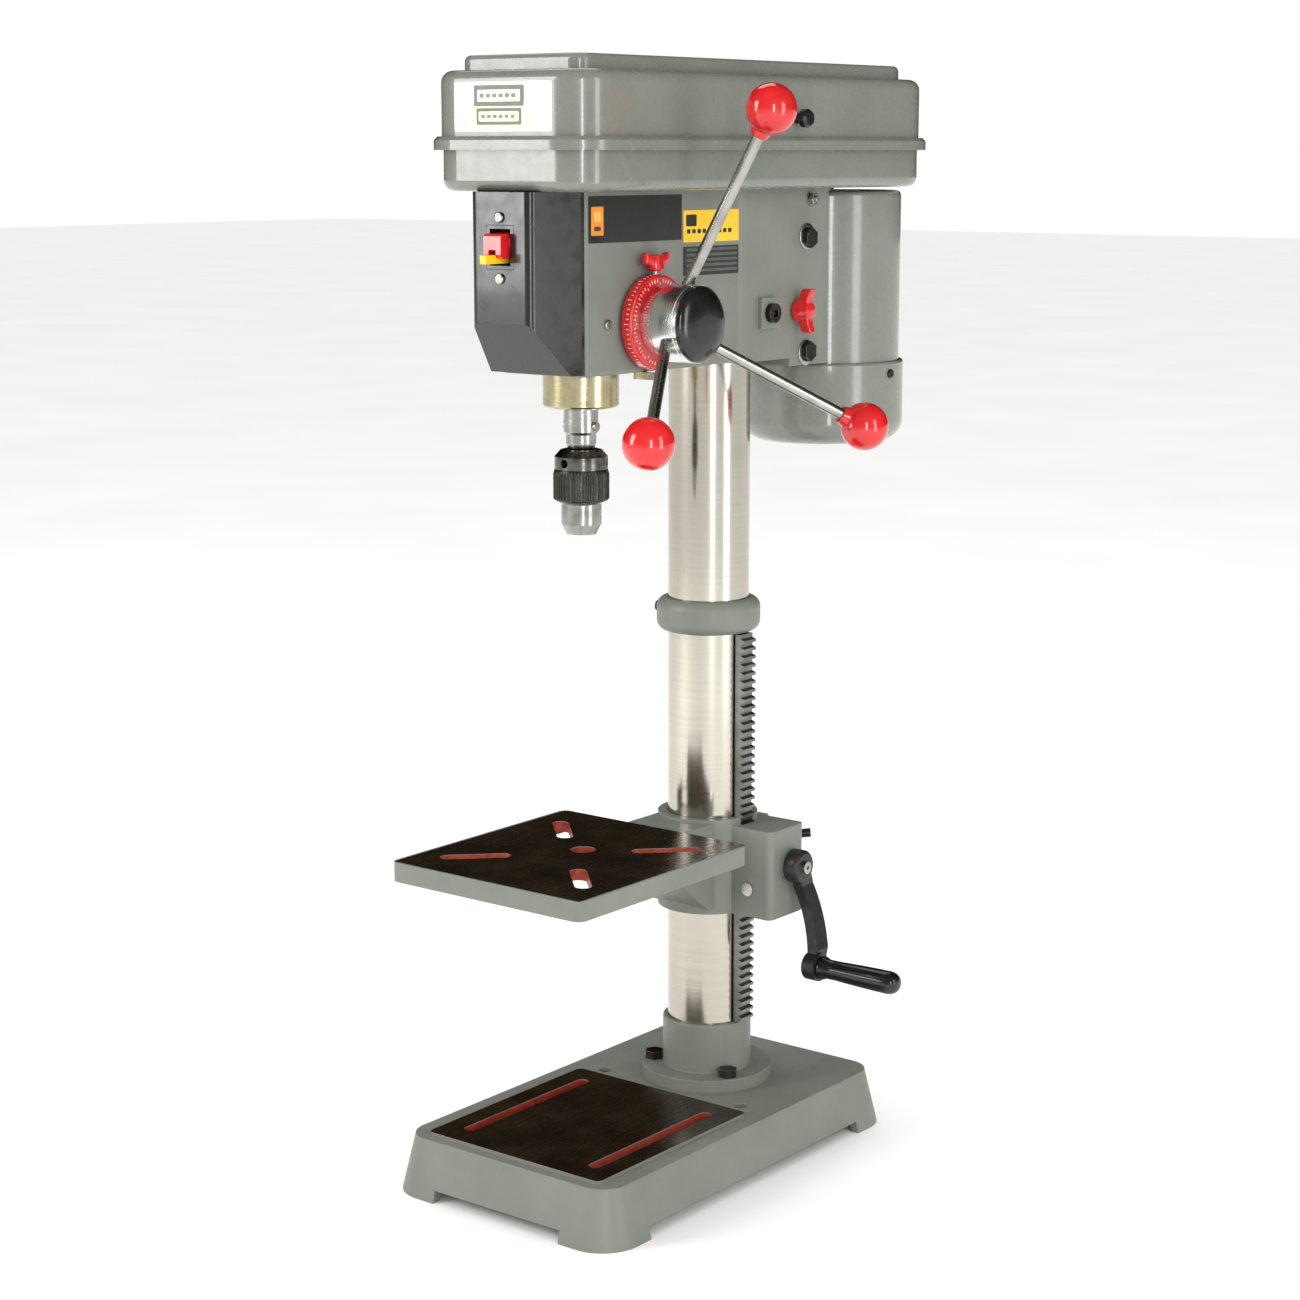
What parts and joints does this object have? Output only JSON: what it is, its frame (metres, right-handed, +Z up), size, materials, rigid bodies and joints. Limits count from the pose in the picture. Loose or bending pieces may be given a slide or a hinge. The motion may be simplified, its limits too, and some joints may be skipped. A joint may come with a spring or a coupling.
{
  "type": "drill press",
  "caption": "Bench drill press: slotted base, steel column with rack, cranked table, swivelling head with a spoked feed handle, keyed chuck, rear motor and hinged belt cover.",
  "frame": {"origin": "on the column axis, at the plane that the feet of the base stand on", "axes": "+Z up along the column, +X to the right of the operator (feed handle side), -Y to the front (spindle side)"},
  "size_m": [0.2715, 0.4724, 0.8],
  "materials": {
    "grey_paint": "semi-gloss grey hammer-free machine enamel",
    "column_steel": "ground and polished steel tube",
    "bright_steel": "turned bright steel",
    "chrome_steel": "polished chrome plate",
    "guide_steel": "oiled machined steel with a straw tint",
    "black_oxide": "black oxide finish",
    "black_plastic": "moulded black plastic, fine grain",
    "red_plastic": "moulded red plastic",
    "yellow_plastic": "moulded yellow plastic",
    "black_paint": "satin black enamel",
    "belt_rubber": "ribbed rubber",
    "pulley_alloy": "die-cast and turned",
    "winding_iron": "laminated iron with varnished windings",
    "gear_steel": "oiled cut steel"
  },
  "bodies": {
    "root": {"base_casting": "grey_paint", "column_flange": "grey_paint", "flange_bolts": "black_oxide", "column_tube": "column_steel", "rack_collar": "grey_paint", "collar_set_screw": "black_oxide"},
    "rack": {"lift_rack": "gear_steel"},
    "table": {"table_casting": "grey_paint", "gear_pin": "bright_steel"},
    "lift_gear": {"lift_gear": "gear_steel"},
    "crank": {"worm_shaft": "gear_steel", "crank_arm": "black_paint", "crank_screw": "bright_steel"},
    "grip": {"crank_grip": "black_plastic"},
    "column_lock": {"column_lock_lever": "black_oxide"},
    "head": {"head_casting": "grey_paint", "quill_guide_ring": "guide_steel", "head_lock_screw": "black_oxide", "bar_lock_bolts": "black_oxide", "switch_cover": "black_plastic", "cover_screws": "bright_steel", "switch_body": "black_plastic", "depth_pointer": "bright_steel", "spring_cap": "black_paint", "return_spring": "gear_steel", "cable_gland": "black_plastic", "pulley_bearings": "bright_steel", "drive_belt": "belt_rubber", "belt_tray": "grey_paint", "tray_screws": "bright_steel", "hinge_pins": "bright_steel"},
    "tension_knob": {"tension_knob": "red_plastic"},
    "paddle": {"switch_paddle": "red_plastic"},
    "key": {"switch_key": "yellow_plastic"},
    "quill": {"quill": "bright_steel", "quill_bearings": "bright_steel"},
    "spindle": {"spindle": "bright_steel", "chuck_body": "chrome_steel"},
    "sleeve": {"chuck_sleeve": "black_oxide"},
    "jaw_1": {"chuck_jaw_1": "chrome_steel"},
    "jaw_2": {"chuck_jaw_2": "chrome_steel"},
    "jaw_3": {"chuck_jaw_3": "chrome_steel"},
    "feed": {"feed_shaft": "bright_steel", "feed_hub": "chrome_steel", "hub_cap": "black_plastic", "feed_spokes": "bright_steel", "spoke_balls": "red_plastic"},
    "depth_ring": {"depth_ring": "red_plastic"},
    "ring_knob": {"ring_lock_knob": "red_plastic"},
    "lid": {"belt_cover_lid": "grey_paint", "lid_knob": "black_plastic"},
    "pulley": {"spindle_pulley": "pulley_alloy"},
    "motor": {"motor_housing": "grey_paint", "motor_end_cap": "grey_paint", "motor_plate": "grey_paint", "slide_bars": "bright_steel", "motor_stator": "winding_iron"},
    "rotor": {"motor_shaft": "bright_steel", "motor_pulley": "pulley_alloy"}
  },
  "joints": [
    {"name": "table_swing", "type": "hinge", "parent": "root", "child": "rack", "pos_m": [0, 0, 0.2], "axis": [0, 0, 1], "range_deg": [-180, 180]},
    {"name": "table_lift", "type": "slide", "parent": "rack", "child": "table", "axis": [0, 0, 1], "range_m": [-0.08, 0.13]},
    {"name": "lift_gear_turn", "type": "hinge", "parent": "table", "child": "lift_gear", "pos_m": [0.049, 0.0055, 0.199], "axis": [0, 1, 0], "range_deg": [-625, 385]},
    {"name": "crank_turn", "type": "hinge", "parent": "table", "child": "crank", "pos_m": [0.078, 0.008, 0.2165], "axis": [1, 0, 0], "range_deg": [-7460, 4600]},
    {"name": "grip_spin", "type": "hinge", "parent": "crank", "child": "grip", "pos_m": [0.12, 0.008, 0.1425], "axis": [1, 0, 0], "continuous": true},
    {"name": "column_lock_turn", "type": "hinge", "parent": "table", "child": "column_lock", "pos_m": [0, 0.049, 0.222], "axis": [1, 0, 0], "range_deg": [-80, 80]},
    {"name": "head_swivel", "type": "hinge", "parent": "root", "child": "head", "pos_m": [0, 0, 0.65], "axis": [0, 0, 1], "range_deg": [-180, 180]},
    {"name": "tension_knob_turn", "type": "hinge", "parent": "head", "child": "tension_knob", "pos_m": [0.05, 0.05, 0.6225], "axis": [1, 0, 0], "range_deg": [-360, 360]},
    {"name": "paddle_tilt", "type": "hinge", "parent": "head", "child": "paddle", "pos_m": [0, -0.224, 0.6785], "axis": [1, 0, 0], "range_deg": [-8, 8]},
    {"name": "key_pull", "type": "slide", "parent": "head", "child": "key", "axis": [0, -1, 0], "range_m": [0, 0.012]},
    {"name": "quill_feed", "type": "slide", "parent": "head", "child": "quill", "axis": [0, 0, -1], "range_m": [0, 0.05], "stiffness_N_per_m": 900, "springref_m": -0.05},
    {"name": "spindle_spin", "type": "hinge", "parent": "quill", "child": "spindle", "pos_m": [0, -0.148, 0.55], "axis": [0, 0, 1], "continuous": true},
    {"name": "sleeve_turn", "type": "hinge", "parent": "spindle", "child": "sleeve", "pos_m": [0, -0.148, 0.51], "axis": [0, 0, 1], "range_deg": [0, 3600]},
    {"name": "jaw_1_slide", "type": "slide", "parent": "spindle", "child": "jaw_1", "axis": [0, -0.1908, -0.9816], "range_m": [0, 0.02]},
    {"name": "jaw_2_slide", "type": "slide", "parent": "spindle", "child": "jaw_2", "axis": [0.1652, 0.0954, -0.9816], "range_m": [0, 0.02]},
    {"name": "jaw_3_slide", "type": "slide", "parent": "spindle", "child": "jaw_3", "axis": [-0.1652, 0.0954, -0.9816], "range_m": [0, 0.02]},
    {"name": "feed_turn", "type": "hinge", "parent": "head", "child": "feed", "pos_m": [0, -0.122, 0.6225], "axis": [1, 0, 0], "range_deg": [0, 320]},
    {"name": "depth_ring_turn", "type": "hinge", "parent": "head", "child": "depth_ring", "pos_m": [0.045, -0.122, 0.6225], "axis": [1, 0, 0], "range_deg": [-150, 150]},
    {"name": "ring_knob_turn", "type": "hinge", "parent": "depth_ring", "child": "ring_knob", "pos_m": [0.045, -0.122, 0.655], "axis": [0, 0, 1], "range_deg": [-20, 20]},
    {"name": "lid_open", "type": "hinge", "parent": "head", "child": "lid", "pos_m": [-0.08, 0, 0.737], "axis": [0, -1, 0], "range_deg": [0, 110]},
    {"name": "pulley_spin", "type": "hinge", "parent": "head", "child": "pulley", "pos_m": [0, -0.148, 0.75], "axis": [0, 0, 1], "continuous": true},
    {"name": "motor_slide", "type": "slide", "parent": "head", "child": "motor", "axis": [0, 1, 0], "range_m": [-0.008, 0]},
    {"name": "rotor_spin", "type": "hinge", "parent": "motor", "child": "rotor", "pos_m": [0, 0.146, 0.65], "axis": [0, 0, 1], "continuous": true}
  ],
  "couplings": [
    {"joint": "lift_gear_turn", "follows": "table_lift", "rad_per_m": -83.333},
    {"joint": "crank_turn", "follows": "table_lift", "rad_per_m": -1000},
    {"joint": "feed_turn", "follows": "quill_feed", "rad_per_m": 111.11},
    {"joint": "pulley_spin", "follows": "rotor_spin", "ratio": 1},
    {"joint": "spindle_spin", "follows": "rotor_spin", "ratio": 1},
    {"joint": "jaw_1_slide", "follows": "sleeve_turn", "m_per_rad": 0.00031831},
    {"joint": "jaw_2_slide", "follows": "sleeve_turn", "m_per_rad": 0.00031831},
    {"joint": "jaw_3_slide", "follows": "sleeve_turn", "m_per_rad": 0.00031831}
  ]
}
